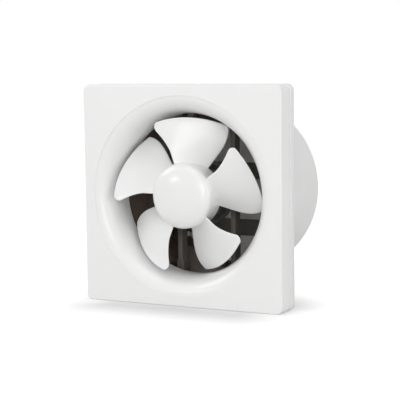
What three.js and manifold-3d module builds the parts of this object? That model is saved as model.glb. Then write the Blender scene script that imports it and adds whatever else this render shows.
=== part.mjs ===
// Window exhaust fan: square front cover with a bell mouth, round wall duct, five-blade
// impeller, motor on two bars, and a gravity shutter of three flaps at the outlet.
// Millimetres. X is right, Y is back along the fan axis, Z is up.
// The origin is on the fan axis, in the plane of the wall that the frame rests against.
import * as THREE from 'three';
import { mergeVertices } from 'three/addons/utils/BufferGeometryUtils.js';
import Module from 'manifold-3d';

const wasm = await Module();
wasm.setup();

// ---- driving dimensions ----
const gap = 0.3; // clearance between pieces that fit together
const over = 1; // how far a cutting shape passes the face it cuts

const panelCorner = 10;
const panelEdge = 2.4; // rounding of the front edges
const panelMargin = 17; // flat face between the mouth and the panel's sides
const coverDepth = 28;
const frameDepth = 18;
const seam = 0.4; // gap between the cover's skirt and the wall frame
const shellWall = 2.5;
const recessDepth = 1.5; // shadow line round the wall frame
const recessWidth = 7;
const lipReach = 8; // the frame's lip inside the cover
const lipWall = 2;
const wallFlange = 3;
const wallHoleInset = 14; // from the panel's sides to the wall screws
const wallHoleRadius = 2.75;

const ductRadius = 139;
const ductLength = 164;
const ductWall = 2.5;
const collarReach = 5; // the duct's collar, on the room side of the wall flange
const collarThickness = 2;
const sleeveWall = 2.5;
const sleeveStart = 2;

const mouthStep = 1.2;
const mouthLap = 2;
const mouthFlare = 28; // how much larger the mouth's radius is than the throat's
const bellDepth = 42;
const throatLength = 16;
const throatClearance = 6.2; // between the throat and the duct's sleeve

const hubRadius = 50.5;
const hubNose = 8; // how far the dome stands out of the front plane
const hubDepth = 38.5;
const hubWall = 2.5;
const hubDome = 19; // depth of the domed part
const hubRoundness = 2.6; // 2 is a true ellipse, more is squarer
const hubSkirtFlare = 0.5;
const bossRadius = 11;
const bossReach = 4; // how far the boss stands out behind the hub
const bushRadius = 7.5;
const grubInset = 8;

const tipClearance = 5.5; // between the blade tips and the throat
const bladeCount = 5;
const bladeThickness = 2.6;
const bladeRootReach = 30; // how far behind the hub a blade's root is still trimmed
const bladeAngle = 111.9; // where the first blade is set, degrees from +X
// The edges' places round the axis, in degrees after that.
const leadRoot = 5.5;
const leadSweep = 15; // the leading edge bends forward
const leadSweepPower = 1.2;
const leadRounding = 5.5;
const trailRoot = 57.6;
const trailTaper = 0.3;
const trailRounding = 7.1;
const roundingPower = 2.6;
// Shares of the span at which the edges begin to bend and to round off.
const sweepFrom = 0.28;
const leadRoundFrom = 0.78;
const trailRoundFrom = 0.34;
// Along the axis.
const bladeSetback = 9.5; // of the leading edge from the front plane, at the hub
const bladeAdvance = 5; // how much further forward the tip is
const rootDepth = 28.5;
const tipDepthGain = 21;
const tipCamber = 0.4;

const shaftRadius = 4;
const shaftSetback = 8; // of the shaft's end from the front plane
const bearingRadius = 9;
const bearingLength = 6.4;
const bearingWall = 2; // metal round a bearing pocket
const hubToMotor = 10.5;
const shieldWall = 2;
const cupToScrew = 1.4; // between the front cup and a motor screw's head
const frontCupLength = 23;
const rearCupLength = 20;
const cupToBar = 1.5; // between the rear cup and a motor bar
const flangeMargin = 0.5;
const flangeThickness = 2.4;
const earRadius = 6;
const earHeight = 20;
const statorLength = 24;
const statorLead = 8.5; // how far the stator starts in front of the flange
const rotorRadius = 22;
const windingClearance = 3; // between the rotor and the coil ends
const windingInset = 2.7; // of the coil ends from the stator's outside
const windingBevel = 1.5;
const frontWinding = 8.6;
const rearWinding = 6.6;

const barSpacing = 95; // between the two motor bars, centre to centre
const barWidth = 8;
const barDepth = 18;
const footWidth = 13;
const footHeight = 9;
const footSeat = 5; // how deep a foot screw's head sits in its foot

const screwRadius = 1.9;
const screwHeadRadius = 3.6;
const screwHead = 2;
const screwHole = screwRadius + gap;
const screwBite = 12; // how far a motor screw's hole goes into its bar

const shutterPlate = 3;
const shutterDepth = 24; // length of the shutter frame's ring
const shutterRecess = 7; // from the duct's end to the shutter plate's rear face
const shutterRing = 8; // width of the plate's rim round the windows
const railTops = [38, -56];
const railHeight = 27;
const topRail = 102; // lower edge of the closed part above the top window
const flapThickness = 1.8;
const flapLap = 4;
const flapEdge = 2.5; // space between a flap's round end and the duct
const flapShoulder = 2; // from a window's upper edge down to the flap's corners
const flapRibRadius = 1.2;
const flapRibDrop = 18; // from the hinge down to the stiffening rib
const flapRibShare = 0.86; // of the flap's width
const rodRadius = 1.3;
const barrelRadius = 2.8;
const earWidth = 4;
const shutterEarRadius = 3; // half the height of a hinge ear
const hingeDrop = 4; // from the hinge line down to the window

const boxSize = [50, 20, 46];
const boxInset = 8; // from the panel's sides
const boxWall = 2;
const blockSize = [26, 11, 12];
const blockWays = 3;
const wayRadius = 1.8;
const wayPitch = 7;
const wayDepth = 7;
const capacitorDepth = 7;
const capacitorHeight = 20;
const grommetRadius = 8;
const grommetNeck = 6.5;
const grommetBore = 4;
const grommetFlange = 1.7;
const leadRadius = 2.2;
const leadInset = 8; // of the lead's hole from the box's top and rear
const leadExit = 28; // how far to the left it leaves the motor's rear shield
const clipZ = -72;
const clipHeight = 8;
const clipWall = 1.4;

// ---- how finely round shapes are divided ----
const largeSides = 48;
const hubSides = 36;
const mediumSides = 32;
const smallSides = 16;
const screwSides = 12;

// ---- places worked out from them ----
const front = -(coverDepth + frameDepth);
const flangeFace = -wallFlange;
const ductInner = ductRadius - ductWall;
const sleeveOuter = ductInner - gap;
const sleeveInner = sleeveOuter - sleeveWall;
const sleeveEnd = ductLength - shutterDepth;
const throatRadius = sleeveInner - throatClearance - shellWall;
const throatEnd = front + bellDepth + throatLength;
const mouthRadius = throatRadius + mouthFlare;
const panelSize = 2 * (mouthRadius + panelMargin);
const impellerRadius = throatRadius - tipClearance;
const hubEnd = front + hubDepth;
const noseStart = hubEnd + hubToMotor;
const cupFront = noseStart + bearingLength + shieldWall;
const flangeFront = cupFront + frontCupLength;
const barFront = flangeFront + 2 * flangeThickness + 2 * gap;
const barRear = barFront + barDepth;
const cupRear = barFront + rearCupLength;
const statorStart = flangeFront - statorLead;
const statorEnd = statorStart + statorLength;
const pocketRadius = bearingRadius + gap;
const noseRadius = pocketRadius + bearingWall;
const shaftStart = front + shaftSetback;
const barX = barSpacing / 2;
const barEndZ = Math.sqrt((sleeveInner - gap) ** 2 - (barX + barWidth / 2) ** 2) - footHeight;
const rearCupRadius = barX - barWidth / 2 - cupToBar;
const statorRadius = rearCupRadius - shieldWall - gap;
const windingInner = rotorRadius + windingClearance;
const windingOuter = statorRadius - windingInset;
const earPlace = Math.hypot(barX, earHeight); // how far a motor screw is from the fan axis
const frontCupRadius = earPlace - screwHeadRadius - cupToScrew;
const flangeRadius = earPlace + flangeMargin;
const plateRear = ductLength - shutterRecess;
const plateFront = plateRear - shutterPlate;
const windowRadius = sleeveOuter - shutterRing;
const hingeY = plateRear + gap + shutterEarRadius;

// ---- materials ----
const paint = (color, roughness, metalness = 0) =>
  new THREE.MeshStandardMaterial({ color, roughness, metalness });
const white = () => paint(0xe9ebea, 0.38);
const bladeWhite = () => paint(0xe6e8e7, 0.42);
const ductWhite = () => paint(0xdcdedb, 0.5);
const darkBrown = () => paint(0x37322d, 0.3);
const black = () => paint(0x35332f, 0.45);
const flapGrey = () => paint(0xb9bab8, 0.6);
const steel = () => paint(0x9c9d9f, 0.35, 0.9);
const zinc = () => paint(0xb4b5b3, 0.45, 0.8);
const brass = () => paint(0xb08d4c, 0.35, 0.9);
const copper = () => paint(0x9a5530, 0.5, 0.6);
const lamination = () => paint(0x6d6f72, 0.55, 0.7);
const rubber = () => paint(0x242322, 0.8);
const ivory = () => paint(0xd9d4c4, 0.55);

const fan = new THREE.Group();

// ---- solids ----
function signedVolume(geometry) {
  const p = geometry.attributes.position;
  const index = geometry.index.array;
  const [a, b, c] = [new THREE.Vector3(), new THREE.Vector3(), new THREE.Vector3()];
  let volume = 0;
  for (let i = 0; i < index.length; i += 3) {
    a.fromBufferAttribute(p, index[i]);
    b.fromBufferAttribute(p, index[i + 1]);
    c.fromBufferAttribute(p, index[i + 2]);
    volume += a.dot(b.cross(c)) / 6;
  }
  return volume;
}

function solid(geometry) {
  const bare = geometry.clone();
  bare.deleteAttribute('normal');
  bare.deleteAttribute('uv');
  const merged = mergeVertices(bare, 1e-4);
  const triVerts = new Uint32Array(merged.index.array);
  if (signedVolume(merged) < 0) {
    for (let i = 0; i < triVerts.length; i += 3) {
      [triVerts[i], triVerts[i + 1]] = [triVerts[i + 1], triVerts[i]];
    }
  }
  const vertProperties = new Float32Array(merged.attributes.position.array);
  return new wasm.Manifold(new wasm.Mesh({ numProp: 3, vertProperties, triVerts }));
}

const join = (...solids) => solids.reduce((a, b) => a.add(b));
const cut = (body, ...tools) => tools.reduce((a, b) => a.subtract(b), body);

function put(name, body, material) {
  const mesh = body.getMesh();
  const geometry = new THREE.BufferGeometry();
  geometry.setAttribute('position', new THREE.BufferAttribute(mesh.vertProperties, 3));
  geometry.setIndex(new THREE.BufferAttribute(mesh.triVerts, 1));
  geometry.computeVertexNormals();
  const piece = new THREE.Mesh(geometry, material);
  piece.name = name;
  fan.add(piece);
}

function box(x0, x1, y0, y1, z0, z1) {
  const geometry = new THREE.BoxGeometry(x1 - x0, y1 - y0, z1 - z0);
  return solid(geometry.translate((x0 + x1) / 2, (y0 + y1) / 2, (z0 + z1) / 2));
}

// A cylinder along Y round the point (x, z).
function rodY(radius, y0, y1, x = 0, z = 0, sides = smallSides) {
  const geometry = new THREE.CylinderGeometry(radius, radius, y1 - y0, sides);
  return solid(geometry.translate(x, (y0 + y1) / 2, z));
}

function rodX(radius, x0, x1, y, z, sides = screwSides) {
  const geometry = new THREE.CylinderGeometry(radius, radius, x1 - x0, sides);
  return solid(geometry.rotateZ(Math.PI / 2).translate((x0 + x1) / 2, y, z));
}

function rodZ(radius, z0, z1, x, y, sides = screwSides) {
  const geometry = new THREE.CylinderGeometry(radius, radius, z1 - z0, sides);
  return solid(geometry.rotateX(Math.PI / 2).translate(x, y, (z0 + z1) / 2));
}

// A turned piece about the fan axis, from [radius, y] pairs round its section.
function turned(profile, sides = largeSides) {
  const points = profile.map(([r, y]) => new THREE.Vector2(r, y));
  if (profile[0][0] > 0) points.push(points[0].clone());
  return solid(new THREE.LatheGeometry(points, sides));
}

const tube = (outer, inner, y0, y1, sides = largeSides) =>
  turned([[outer, y0], [outer, y1], [inner, y1], [inner, y0]], sides);

// A flat outline in X and Z, given thickness from y0 to y1.
function plate(shape, y0, y1, curveSegments = 12) {
  const geometry = new THREE.ExtrudeGeometry(shape, {
    depth: y1 - y0, bevelEnabled: false, curveSegments,
  });
  return solid(geometry.rotateX(Math.PI / 2).translate(0, y1, 0));
}

function roundedSquare(size, corner) {
  const h = size / 2;
  const k = h - corner;
  const shape = new THREE.Shape();
  shape.absarc(k, -k, corner, -Math.PI / 2, 0);
  shape.absarc(k, k, corner, 0, Math.PI / 2);
  shape.absarc(-k, k, corner, Math.PI / 2, Math.PI);
  shape.absarc(-k, -k, corner, Math.PI, 1.5 * Math.PI);
  shape.closePath();
  return shape;
}

const slab = (size, corner, y0, y1) => plate(roundedSquare(size, corner), y0, y1, 4);

// ---- front cover ----
const coverInner = panelSize - 2 * shellWall;

function frontCover() {
  const rear = -frameDepth - seam;
  const face = new THREE.ExtrudeGeometry(
    roundedSquare(panelSize - 2 * panelEdge, panelCorner - panelEdge),
    {
      depth: coverDepth, bevelThickness: panelEdge, bevelSize: panelEdge,
      bevelSegments: 3, curveSegments: 4,
    },
  );
  const block = solid(face.rotateX(Math.PI / 2).translate(0, front + panelEdge + coverDepth, 0));
  const behind = box(-panelSize, panelSize, rear, rear + panelSize, -panelSize, panelSize);
  const hollow = slab(coverInner, panelCorner - shellWall, front + shellWall, 0);
  const hole = rodY(mouthRadius, front - over, front + coverDepth, 0, 0, largeSides);
  return join(cut(block, behind, hollow, hole), bellMouth());
}

// A quarter ellipse from the flat step at the front to the straight throat.
function bellMouth() {
  const start = front + mouthStep;
  const reach = mouthRadius - mouthLap / 2 - throatRadius;
  const steps = 6;
  const roll = [];
  for (let i = 0; i <= steps; i++) {
    const t = (i / steps) * (Math.PI / 2);
    roll.push([throatRadius + reach * (1 - Math.sin(t)), start + bellDepth * (1 - Math.cos(t))]);
  }
  const rear = roll.map(([r, y], i) => {
    const t = (i / steps) * (Math.PI / 2);
    const across = bellDepth * Math.sin(t);
    const along = reach * Math.cos(t);
    const length = Math.hypot(across, along);
    const [nr, ny] = i === 0 ? [0, 1] : [across / length, along / length];
    return [r + shellWall * nr, y + shellWall * ny];
  });
  const outerEdge = mouthRadius + mouthLap;
  return turned([
    [outerEdge, start], ...roll, [throatRadius, throatEnd],
    [throatRadius + shellWall, throatEnd], ...rear.reverse(), [outerEdge, start + shellWall],
  ]);
}

put('front_cover', frontCover(), white());

// ---- wall frame, and the duct that hangs in it by its collar ----
function corners(offset) {
  return [[1, 1], [-1, 1], [-1, -1], [1, -1]].map(([sx, sz]) => [sx * offset, sz * offset]);
}

function barFootScrews() {
  const places = [];
  for (const sx of [-1, 1]) {
    for (const sz of [-1, 1]) places.push([sx * barX, sz]);
  }
  return places;
}

const footScrewY = barFront + barDepth / 2;
const footScrewEnd = Math.sqrt(ductRadius ** 2 - barX ** 2) - 2 * gap;

function footHoles(radius) {
  return barFootScrews().map(([x, sz]) => {
    const [z0, z1] = sz > 0 ? [barEndZ, ductRadius + over] : [-ductRadius - over, -barEndZ];
    return rodZ(radius, z0, z1, x, footScrewY);
  });
}

// The terminal box stands in the lower left corner; a cable comes in through its rear.
const boxLeft = boxInset - panelSize / 2;
const boxLow = boxLeft;
const inletX = boxLeft + boxSize[0] / 2;
const inletZ = boxLow + boxSize[2] / 3;

function wallFrame() {
  const lipOuter = coverInner - 2 * gap;
  const recessEnd = -frameDepth + recessWidth;
  const rear = slab(panelSize, panelCorner, recessEnd, 0);
  const band = slab(panelSize - 2 * recessDepth, panelCorner - recessDepth, -frameDepth, recessEnd);
  const lip = slab(lipOuter, panelCorner - shellWall, -frameDepth - lipReach, recessEnd);
  const hollow = slab(lipOuter - 2 * lipWall, panelCorner - shellWall - lipWall,
    -frameDepth - lipReach - over, flangeFace);
  const hole = rodY(ductRadius + gap, flangeFace - over, over, 0, 0, largeSides);
  const wallHoles = corners(panelSize / 2 - wallHoleInset)
    .filter(([x, z]) => x > 0 || z > 0)
    .map(([x, z]) => rodY(wallHoleRadius, flangeFace - over, over, x, z, screwSides));
  const inlet = rodY(grommetNeck + gap, flangeFace - over, over, inletX, inletZ);
  return cut(join(rear, band, lip), hollow, hole, ...wallHoles, inlet);
}

function duct() {
  const collarRear = flangeFace - gap;
  const collarFront = collarRear - collarThickness;
  const wall = tube(ductRadius, ductInner, collarFront, ductLength);
  const collar = tube(ductRadius + collarReach, ductInner, collarFront, collarRear);
  return cut(join(wall, collar), ...footHoles(screwHole));
}

put('wall_frame', wallFrame(), ductWhite());
put('duct', duct(), ductWhite());

put('inner_sleeve',
  cut(tube(sleeveOuter, sleeveInner, sleeveStart, sleeveEnd), ...footHoles(screwHole)),
  darkBrown());

// ---- impeller ----
// How far a share of the span lies beyond its start, from 0 there to 1 at the tip.
const past = (span, from) => Math.max(0, (span - from) / (1 - from));

// Across the span the edges bend forward to a rounded tip; r is the radius and s runs
// from the leading edge, 0, to the trailing edge, 1.
function bladePoint(r, s) {
  const span = (r - hubRadius) / (impellerRadius - hubRadius);
  const lead = leadRoot - leadSweep * Math.max(0, span - sweepFrom) ** leadSweepPower
    + leadRounding * past(span, leadRoundFrom) ** roundingPower;
  const trail = trailRoot - trailTaper * span
    - trailRounding * past(span, trailRoundFrom) ** roundingPower;
  const swing = lead + (trail - lead) * s;
  const angle = THREE.MathUtils.degToRad(bladeAngle - swing);
  const depth = rootDepth + tipDepthGain * span;
  const y = front + bladeSetback - bladeAdvance * span + depth * s ** (1 + tipCamber * span);
  return new THREE.Vector3(r * Math.cos(angle), y, r * Math.sin(angle));
}

function blade(turn) {
  const spanSteps = 7;
  const chordSteps = 7;
  const rootRadius = hubRadius - hubWall / 2;
  const faces = [[], []];
  for (let i = 0; i <= spanSteps; i++) {
    const r = rootRadius + (impellerRadius - rootRadius) * Math.sin((i / spanSteps) * (Math.PI / 2));
    for (let j = 0; j <= chordSteps; j++) {
      const s = j / chordSteps;
      const p = bladePoint(r, s);
      const along = bladePoint(r, Math.min(1, s + 0.02)).sub(bladePoint(r, Math.max(0, s - 0.02)));
      const outward = new THREE.Vector3(p.x, 0, p.z).normalize();
      const normal = along.cross(outward).normalize();
      const edge = Math.sin(Math.PI * Math.min(1, Math.max(0, s * 0.9 + 0.05))) ** 0.35;
      const half = (bladeThickness / 2) * edge;
      faces[0].push(p.clone().addScaledVector(normal, half));
      faces[1].push(p.clone().addScaledVector(normal, -half));
    }
  }
  const columns = chordSteps + 1;
  const total = faces[0].length;
  const triangles = [];
  const quad = (a, b, c, d) => triangles.push(a, b, c, a, c, d);
  for (let i = 0; i < spanSteps; i++) {
    for (let j = 0; j < chordSteps; j++) {
      const a = i * columns + j;
      quad(a, a + 1, a + columns + 1, a + columns);
      quad(total + a, total + a + columns, total + a + columns + 1, total + a + 1);
    }
  }
  const rim = [];
  for (let j = 0; j < chordSteps; j++) rim.push(j);
  for (let i = 0; i < spanSteps; i++) rim.push(i * columns + chordSteps);
  for (let j = chordSteps; j > 0; j--) rim.push(spanSteps * columns + j);
  for (let i = spanSteps; i > 0; i--) rim.push(i * columns);
  rim.forEach((a, k) => {
    const b = rim[(k + 1) % rim.length];
    quad(a, total + a, total + b, b);
  });
  const geometry = new THREE.BufferGeometry();
  const positions = faces.flat().flatMap((p) => [p.x, p.y, p.z]);
  geometry.setAttribute('position', new THREE.Float32BufferAttribute(positions, 3));
  geometry.setIndex(triangles);
  return solid(geometry.rotateY(turn));
}

// The dome's section, [radius, y] from the axis out, on a squared ellipse.
function dome(radius, depth) {
  const steps = 6;
  const points = [];
  for (let i = 0; i <= steps; i++) {
    const t = (i / steps) * (Math.PI / 2);
    const rise = depth * Math.max(0, Math.cos(t)) ** (2 / hubRoundness);
    points.push([radius * Math.sin(t) ** (2 / hubRoundness), front - hubNose + hubDome - rise]);
  }
  return points;
}

const grubY = hubEnd - grubInset;
const bossEnd = hubEnd + bossReach;

function hub() {
  return turned([
    ...dome(hubRadius, hubDome),
    [hubRadius + hubSkirtFlare, hubEnd],
    [hubRadius + hubSkirtFlare - hubWall, hubEnd],
    ...dome(hubRadius - hubWall, hubDome - hubWall).reverse(),
  ], hubSides);
}

// The boss behind the dome, closed at the front.
function hubBoss() {
  const inset = hubWall + gap;
  const room = turned([
    ...dome(hubRadius - inset, hubDome - inset), [hubRadius - inset, bossEnd], [0, bossEnd],
  ], hubSides);
  const body = rodY(bossRadius, front - hubNose, bossEnd).intersect(room);
  const bore = rodY(bushRadius + gap, shaftStart - hubWall, bossEnd + over);
  return cut(body, bore, rodZ(screwHole, 0, bossRadius + over, 0, grubY));
}

// The space that the blades leave to the hub.
function hubRoom() {
  return turned([
    ...dome(hubRadius + gap, hubDome + gap),
    [hubRadius + hubSkirtFlare + gap, hubEnd],
    [hubRadius + hubSkirtFlare + gap, hubEnd + bladeRootReach],
    [0, hubEnd + bladeRootReach],
  ], hubSides);
}

put('hub', hub(), bladeWhite());
put('hub_boss', hubBoss(), bladeWhite());
for (let k = 0; k < bladeCount; k++) {
  const turn = (k / bladeCount) * 2 * Math.PI;
  put(`blade_${k + 1}`, cut(blade(turn), hubRoom()), bladeWhite());
}
put('hub_bush',
  cut(tube(bushRadius, shaftRadius + gap, shaftStart, bossEnd - 2 * gap, smallSides),
    rodZ(screwHole, 0, bushRadius + over, 0, grubY)),
  brass());
put('grub_screw', rodZ(screwRadius, shaftRadius + gap, bossRadius - gap, 0, grubY), steel());

// ---- motor ----
const rearPocket = cupRear - shieldWall / 2;
const shaftEnd = rearPocket + bearingLength + gap;

put('motor_shaft', rodY(shaftRadius, shaftStart, shaftEnd, 0, 0, smallSides), steel());

function bearing(name, start) {
  const ring = tube(bearingRadius, shaftRadius + gap, start, start + bearingLength, smallSides);
  put(name, ring, brass());
}

bearing('front_bearing', noseStart + shieldWall + gap);
bearing('rear_bearing', rearPocket);

const earPlaces = [[1, 1], [-1, 1], [-1, -1], [1, -1]]
  .map(([sx, sz]) => [sx * barX, sz * earHeight]);

function motorFlange(y0, y1) {
  const disc = rodY(flangeRadius, y0, y1, 0, 0, mediumSides);
  return join(disc, ...earPlaces.map(([x, z]) => rodY(earRadius, y0, y1, x, z)));
}

const earHoles = (y0, y1) => earPlaces.map(([x, z]) => rodY(screwHole, y0, y1, x, z, screwSides));

function frontShield() {
  const flange = motorFlange(flangeFront, flangeFront + flangeThickness);
  const inner = frontCupRadius - shieldWall;
  const end = flangeFront + flangeThickness + over;
  const wall = rodY(frontCupRadius, cupFront, flangeFront + over, 0, 0, mediumSides);
  const nose = rodY(noseRadius, noseStart, cupFront + over, 0, 0, smallSides);
  const hollow = rodY(inner, cupFront + shieldWall, end, 0, 0, mediumSides);
  const pocket = rodY(pocketRadius, noseStart + shieldWall, cupFront + shieldWall + over, 0, 0, smallSides);
  const bore = rodY(shaftRadius + 2 * gap, noseStart - over, cupFront, 0, 0, smallSides);
  return cut(join(flange, wall, nose), hollow, pocket, bore, ...earHoles(flangeFront - over, end));
}

function rearShield() {
  const start = flangeFront + flangeThickness + gap;
  const flange = motorFlange(start, start + flangeThickness);
  const wall = rodY(rearCupRadius, start, cupRear, 0, 0, mediumSides);
  const end = shaftEnd + gap + shieldWall;
  const nose = rodY(noseRadius, cupRear - over, end, 0, 0, smallSides);
  const hollow = rodY(rearCupRadius - shieldWall, start - over, cupRear - shieldWall, 0, 0, mediumSides);
  const pocket = rodY(pocketRadius, cupRear - shieldWall - over, end - shieldWall, 0, 0, smallSides);
  return cut(join(flange, wall, nose), hollow, pocket,
    ...earHoles(start - over, start + flangeThickness + over));
}

put('motor_front_shield', frontShield(), black());
put('motor_rear_shield', rearShield(), black());
put('stator_core', tube(statorRadius, rotorRadius + gap, statorStart, statorEnd, mediumSides), lamination());
put('rotor_core', tube(rotorRadius, shaftRadius + gap, statorStart, statorEnd, mediumSides), lamination());

function winding(name, y0, y1) {
  const bevel = windingBevel;
  put(name, turned([
    [windingInner, y0 + bevel], [windingInner + bevel, y0], [windingOuter - bevel, y0],
    [windingOuter, y0 + bevel], [windingOuter, y1 - bevel], [windingOuter - bevel, y1],
    [windingInner + bevel, y1], [windingInner, y1 - bevel],
  ], mediumSides), copper());
}

winding('front_winding', statorStart - gap - frontWinding, statorStart - gap);
winding('rear_winding', statorEnd + gap, statorEnd + gap + rearWinding);

// ---- motor bars ----
const footHeadZ = barEndZ + footSeat; // the face that a foot screw's head bears on

// A foot screw's head goes in through its foot from the side of the fan axis.
function footHeadRooms(side) {
  const room = screwHeadRadius + gap;
  return [-1, 1].map((sz) => {
    const [z0, z1] = sz > 0 ? [barEndZ - footSeat, footHeadZ] : [-footHeadZ, footSeat - barEndZ];
    return rodZ(room, z0, z1, side * barX, footScrewY);
  });
}

function motorBar(side) {
  const x = side * barX;
  const bar = box(x - barWidth / 2, x + barWidth / 2, barFront, barRear, -barEndZ, barEndZ);
  const outside = tube(2 * sleeveInner, sleeveInner - gap, barFront - over, barRear + over);
  const feet = [-1, 1].map((sz) => {
    const [z0, z1] = sz > 0 ? [barEndZ - over, sleeveInner] : [-sleeveInner, over - barEndZ];
    return cut(box(x - footWidth / 2, x + footWidth / 2, barFront, barRear, z0, z1), outside);
  });
  const holes = earHoles(barFront - over, barFront + screwBite);
  return cut(join(bar, ...feet), ...holes, ...footHoles(screwHole), ...footHeadRooms(side));
}

put('motor_bar_left', motorBar(-1), black());
put('motor_bar_right', motorBar(1), black());

function motorScrew([x, z]) {
  const seat = flangeFront - gap;
  const head = rodY(screwHeadRadius, seat - screwHead, seat, x, z, screwSides);
  const shank = rodY(screwRadius, seat - screwHead / 2, barFront + screwBite - over, x, z, screwSides);
  return join(head, shank);
}

['upper_right', 'upper_left', 'lower_left', 'lower_right'].forEach((place, k) => {
  put(`motor_screw_${place}`, motorScrew(earPlaces[k]), zinc());
});

function footScrew(x, sz) {
  const under = footHeadZ - gap;
  const [h0, h1] = sz > 0 ? [under - screwHead, under] : [-under, -under + screwHead];
  const [s0, s1] = sz > 0 ? [under - screwHead / 2, footScrewEnd] : [-footScrewEnd, screwHead / 2 - under];
  return join(rodZ(screwHeadRadius, h0, h1, x, footScrewY), rodZ(screwRadius, s0, s1, x, footScrewY));
}

['lower_left', 'upper_left', 'lower_right', 'upper_right'].forEach((place, k) => {
  const [x, sz] = barFootScrews()[k];
  put(`bar_screw_${place}`, footScrew(x, sz), zinc());
});

// ---- shutter ----
const windows = [
  { name: 'top', high: topRail, low: railTops[0] },
  { name: 'middle', high: railTops[0] - railHeight, low: railTops[1] },
  { name: 'bottom', high: railTops[1] - railHeight, low: -windowRadius },
].map((w) => ({ ...w, hingeZ: w.high + hingeDrop }));

const halfChord = (radius, z) => Math.sqrt(Math.max(0, radius ** 2 - z ** 2));
const barrelHalf = (w) =>
  halfChord(ductInner - flapEdge, Math.abs(w.hingeZ) + shutterEarRadius) - earWidth - 2 * gap;

function windowShape(w) {
  const upper = Math.asin(w.high / windowRadius);
  const lower = Math.asin(Math.max(-1, w.low / windowRadius));
  const shape = new THREE.Shape();
  shape.absarc(0, 0, windowRadius, lower, upper);
  shape.absarc(0, 0, windowRadius, Math.PI - upper, Math.PI - lower);
  shape.closePath();
  return shape;
}

function shutterFrame() {
  const ring = tube(sleeveOuter, sleeveInner, sleeveEnd + gap, plateRear);
  const disc = rodY(sleeveOuter - sleeveWall / 2, plateFront, plateRear, 0, 0, largeSides);
  const openings = windows.map((w) => plate(windowShape(w), plateFront - over, plateRear + over, 10));
  const ears = windows.flatMap((w) => [-1, 1].map((side) => {
    const a = side * (barrelHalf(w) + gap);
    const b = side * (barrelHalf(w) + gap + earWidth);
    const [x0, x1] = [Math.min(a, b), Math.max(a, b)];
    const ear = box(x0, x1, plateFront, hingeY + shutterEarRadius,
      w.hingeZ - shutterEarRadius, w.hingeZ + shutterEarRadius);
    return cut(ear, rodX(rodRadius + gap, x0 - over, x1 + over, hingeY, w.hingeZ));
  }));
  return join(cut(join(ring, disc), ...openings), ...ears);
}

put('shutter_frame', shutterFrame(), black());

// A flap hangs from the barrel along its top edge and closes on the plate's rear face.
function flapShape(w) {
  const low = Math.max(w.low - flapLap, -(windowRadius + flapLap));
  const radius = windowRadius + flapLap;
  const neck = barrelHalf(w);
  const shoulder = w.high - flapShoulder;
  const upper = Math.asin(shoulder / radius);
  const lower = Math.asin(low / radius);
  const shape = new THREE.Shape();
  shape.moveTo(neck, w.hingeZ);
  shape.lineTo(-neck, w.hingeZ);
  shape.lineTo(-Math.min(neck, halfChord(radius, shoulder)), shoulder);
  shape.absarc(0, 0, radius, Math.PI - upper, Math.PI - lower);
  shape.absarc(0, 0, radius, lower, upper);
  shape.lineTo(Math.min(neck, halfChord(radius, shoulder)), shoulder);
  shape.closePath();
  return shape;
}

function flap(w) {
  const y0 = plateRear + gap;
  const sheet = plate(flapShape(w), y0, y0 + flapThickness, 10);
  const half = barrelHalf(w);
  const barrel = rodX(barrelRadius, -half, half, hingeY, w.hingeZ);
  const bore = rodX(rodRadius + gap, -half - over, half + over, hingeY, w.hingeZ);
  const ribHalf = half * flapRibShare;
  const rib = rodX(flapRibRadius, -ribHalf, ribHalf, y0 + flapThickness, w.hingeZ - flapRibDrop, screwSides);
  return cut(join(sheet, barrel, rib), bore);
}

windows.forEach((w) => {
  const reach = barrelHalf(w) + gap + earWidth;
  put(`flap_${w.name}`, flap(w), flapGrey());
  put(`flap_rod_${w.name}`, rodX(rodRadius, -reach, reach, hingeY, w.hingeZ), steel());
});

// ---- terminal box in the lower left corner of the frame ----
const boxRear = flangeFace - gap;
const boxFront = boxRear - boxSize[1];
const boxRight = boxLeft + boxSize[0];
const boxTop = boxLow + boxSize[2];
const boxFloor = boxRear - boxWall;
const leadZ = boxTop - leadInset;
const leadY = boxRear - leadInset;

function terminalBox() {
  const shell = box(boxLeft, boxRight, boxFront, boxRear, boxLow, boxTop);
  const hollow = box(boxLeft + boxWall, boxRight - boxWall, boxFront - over, boxFloor,
    boxLow + boxWall, boxTop - boxWall);
  const inlet = rodY(grommetNeck + gap, boxFloor - over, boxRear + over, inletX, inletZ);
  const leadHole = rodX(leadRadius + gap, boxRight - boxWall - over, boxRight + over, leadY, leadZ);
  return cut(shell, hollow, inlet, leadHole);
}

put('terminal_box', terminalBox(), black());

const lidRear = boxFront - gap;
put('terminal_box_lid', box(boxLeft, boxRight, lidRear - boxWall, lidRear, boxLow, boxTop), black());

// The grommet lines the hole that a supply cable comes in by.
function grommet() {
  const seat = boxFloor - gap;
  const neck = rodY(grommetNeck, seat - grommetFlange / 2, -gap, inletX, inletZ);
  const flange = rodY(grommetRadius, seat - grommetFlange, seat, inletX, inletZ);
  return cut(join(neck, flange), rodY(grommetBore, seat - grommetFlange - over, over, inletX, inletZ));
}

put('cable_grommet', grommet(), rubber());

function terminalBlock() {
  const x0 = boxLeft + boxWall + gap;
  const y1 = boxFloor - gap;
  const z1 = boxTop - boxWall - gap;
  const [width, depth, height] = blockSize;
  const block = box(x0, x0 + width, y1 - depth, y1, z1 - height, z1);
  const ways = [];
  for (let k = 0; k < blockWays; k++) {
    const x = x0 + width / 2 + (k - (blockWays - 1) / 2) * wayPitch;
    ways.push(rodY(wayRadius, y1 - depth - over, y1 - depth + wayDepth, x, z1 - height / 2, screwSides));
  }
  return cut(block, ...ways);
}

put('terminal_block', terminalBlock(), ivory());

function capacitor() {
  const z0 = boxLow + boxWall + gap;
  const y0 = boxFront + gap;
  return box(boxLeft + boxWall + gap, boxRight - boxWall - gap, y0, y0 + capacitorDepth,
    z0, z0 + capacitorHeight);
}

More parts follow.
